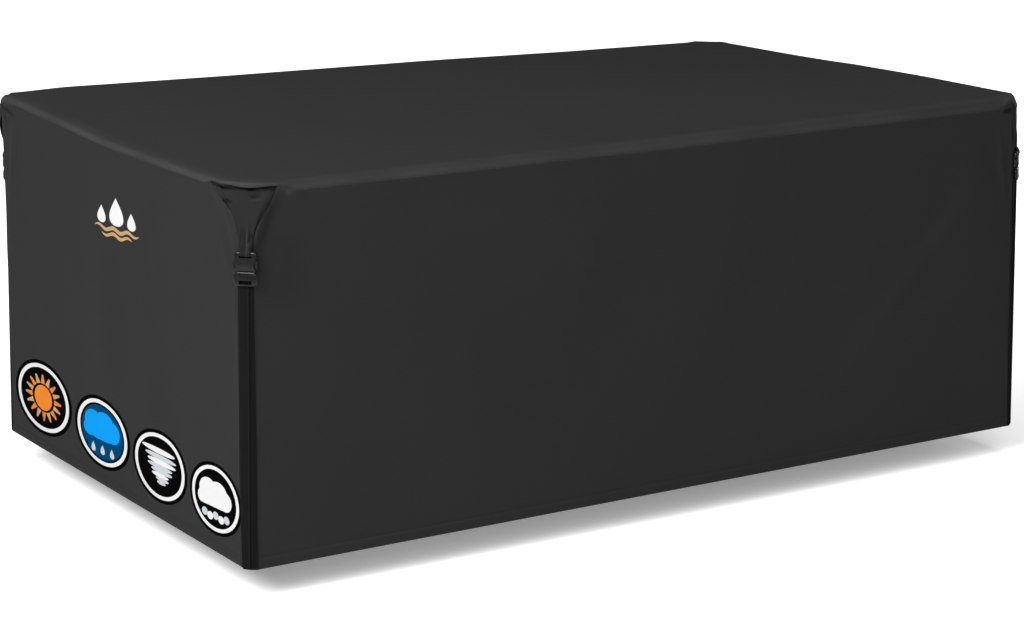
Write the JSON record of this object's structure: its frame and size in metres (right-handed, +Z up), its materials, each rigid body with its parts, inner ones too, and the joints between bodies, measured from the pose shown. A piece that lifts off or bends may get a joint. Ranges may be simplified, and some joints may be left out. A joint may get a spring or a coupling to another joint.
{
  "type": "fitted patio furniture cover",
  "caption": "Rectangular fitted outdoor furniture cover with rolled top edges, tucked corners drawn in by side-release buckles, and taped corner seams.",
  "frame": {"origin": "centre of the underside of the top panel, where the furniture holds the cover up", "axes": "+X along the long sides towards the right, +Y towards the back long side, +Z up; the front long side is at -Y and the short side with the printed discs is at -X"},
  "size_m": [1.853, 1.1515, 0.7315],
  "materials": {
    "cloth": "charcoal coated woven polyester, matt with a slight sheen",
    "tape": "black woven binding tape",
    "webbing": "black woven webbing",
    "plastic": "black moulded acetal, satin"
  },
  "bodies": {
    "root": {"top_panel": "cloth", "long_panel_front": "cloth", "short_panel_right": "cloth", "long_panel_back": "cloth", "short_panel_left": "cloth", "corner_gusset_front_left": "cloth", "corner_band_front_left": "tape", "corner_strap_front_left": "webbing", "buckle_tab_front_left": "webbing", "buckle_socket_front_left": "plastic", "buckle_prong_front_left": "plastic", "corner_gusset_front_right": "cloth", "corner_band_front_right": "tape", "corner_strap_front_right": "webbing", "buckle_tab_front_right": "webbing", "buckle_socket_front_right": "plastic", "buckle_prong_front_right": "plastic", "corner_gusset_back_right": "cloth", "corner_band_back_right": "tape", "corner_strap_back_right": "webbing", "buckle_tab_back_right": "webbing", "buckle_socket_back_right": "plastic", "buckle_prong_back_right": "plastic", "corner_gusset_back_left": "cloth", "corner_band_back_left": "tape", "corner_strap_back_left": "webbing", "buckle_tab_back_left": "webbing", "buckle_socket_back_left": "plastic", "buckle_prong_back_left": "plastic"}
  },
  "joints": []
}
